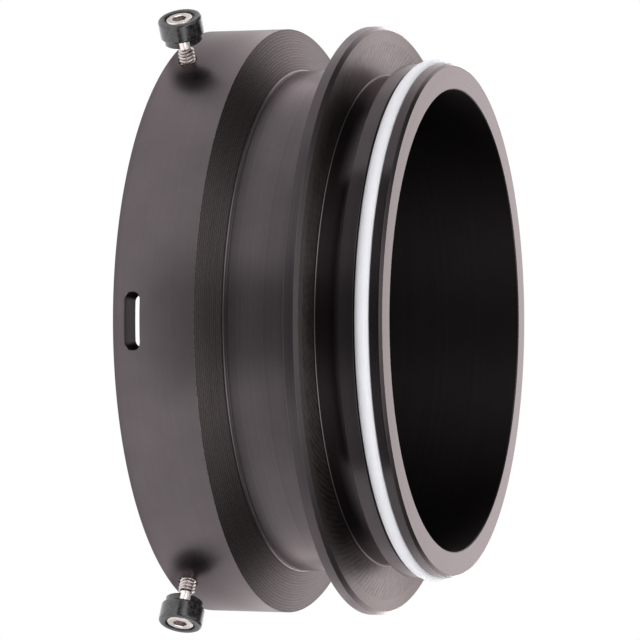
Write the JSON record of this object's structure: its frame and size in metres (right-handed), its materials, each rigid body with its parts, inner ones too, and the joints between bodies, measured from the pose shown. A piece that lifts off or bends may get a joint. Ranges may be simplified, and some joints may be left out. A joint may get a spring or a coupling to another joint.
{
  "type": "thumbscrew adapter tube",
  "caption": "Open tube adapter with a thumbscrew clamp collar at the rear, a flanged neck, and a grooved nose that carries a seal ring.",
  "frame": {"origin": "centre of the clamp collar's rear face, on the tube's axis", "axes": "+Z along the tube's axis from the clamp collar to the nose; the index slot faces -Y"},
  "size_m": [0.1324, 0.1379, 0.0551],
  "materials": {
    "black_anodised": "satin",
    "stainless": "polished",
    "knob_black": "satin",
    "white_seal": "smooth",
    "nylon": "smooth"
  },
  "bodies": {
    "adapter": {"clamp_collar": "black_anodised", "flanged_tube": "black_anodised", "seal_ring": "white_seal"},
    "tip_a": {"screw_tip_a": "nylon"},
    "thumbscrew_a": {"clamp_screw_a": "stainless", "knob_a": "knob_black"},
    "tip_b": {"screw_tip_b": "nylon"},
    "thumbscrew_b": {"clamp_screw_b": "stainless", "knob_b": "knob_black"},
    "tip_c": {"screw_tip_c": "nylon"},
    "thumbscrew_c": {"clamp_screw_c": "stainless", "knob_c": "knob_black"}
  },
  "joints": [
    {"name": "tip_advance_a", "type": "slide", "parent": "adapter", "child": "tip_a", "axis": [-0.866, 0.5, 0], "range_m": [-0.00238, 0.0043]},
    {"name": "knob_turn_a", "type": "hinge", "parent": "tip_a", "child": "thumbscrew_a", "pos_m": [0.06062, -0.035, 0.0043], "axis": [-0.866, 0.5, 0], "range_deg": [-1080, 1950]},
    {"name": "tip_advance_b", "type": "slide", "parent": "adapter", "child": "tip_b", "axis": [0.866, 0.5, 0], "range_m": [-0.00238, 0.0043]},
    {"name": "knob_turn_b", "type": "hinge", "parent": "tip_b", "child": "thumbscrew_b", "pos_m": [-0.06062, -0.035, 0.0043], "axis": [0.866, 0.5, 0], "range_deg": [-1080, 1950]},
    {"name": "tip_advance_c", "type": "slide", "parent": "adapter", "child": "tip_c", "axis": [0, -1, 0], "range_m": [-0.00238, 0.0043]},
    {"name": "knob_turn_c", "type": "hinge", "parent": "tip_c", "child": "thumbscrew_c", "pos_m": [0, 0.07, 0.0043], "axis": [0, -1, 0], "range_deg": [-1080, 1950]}
  ],
  "couplings": [
    {"joint": "knob_turn_a", "follows": "tip_advance_a", "rad_per_m": 7915.8},
    {"joint": "knob_turn_b", "follows": "tip_advance_b", "rad_per_m": 7915.8},
    {"joint": "knob_turn_c", "follows": "tip_advance_c", "rad_per_m": 7915.8}
  ]
}
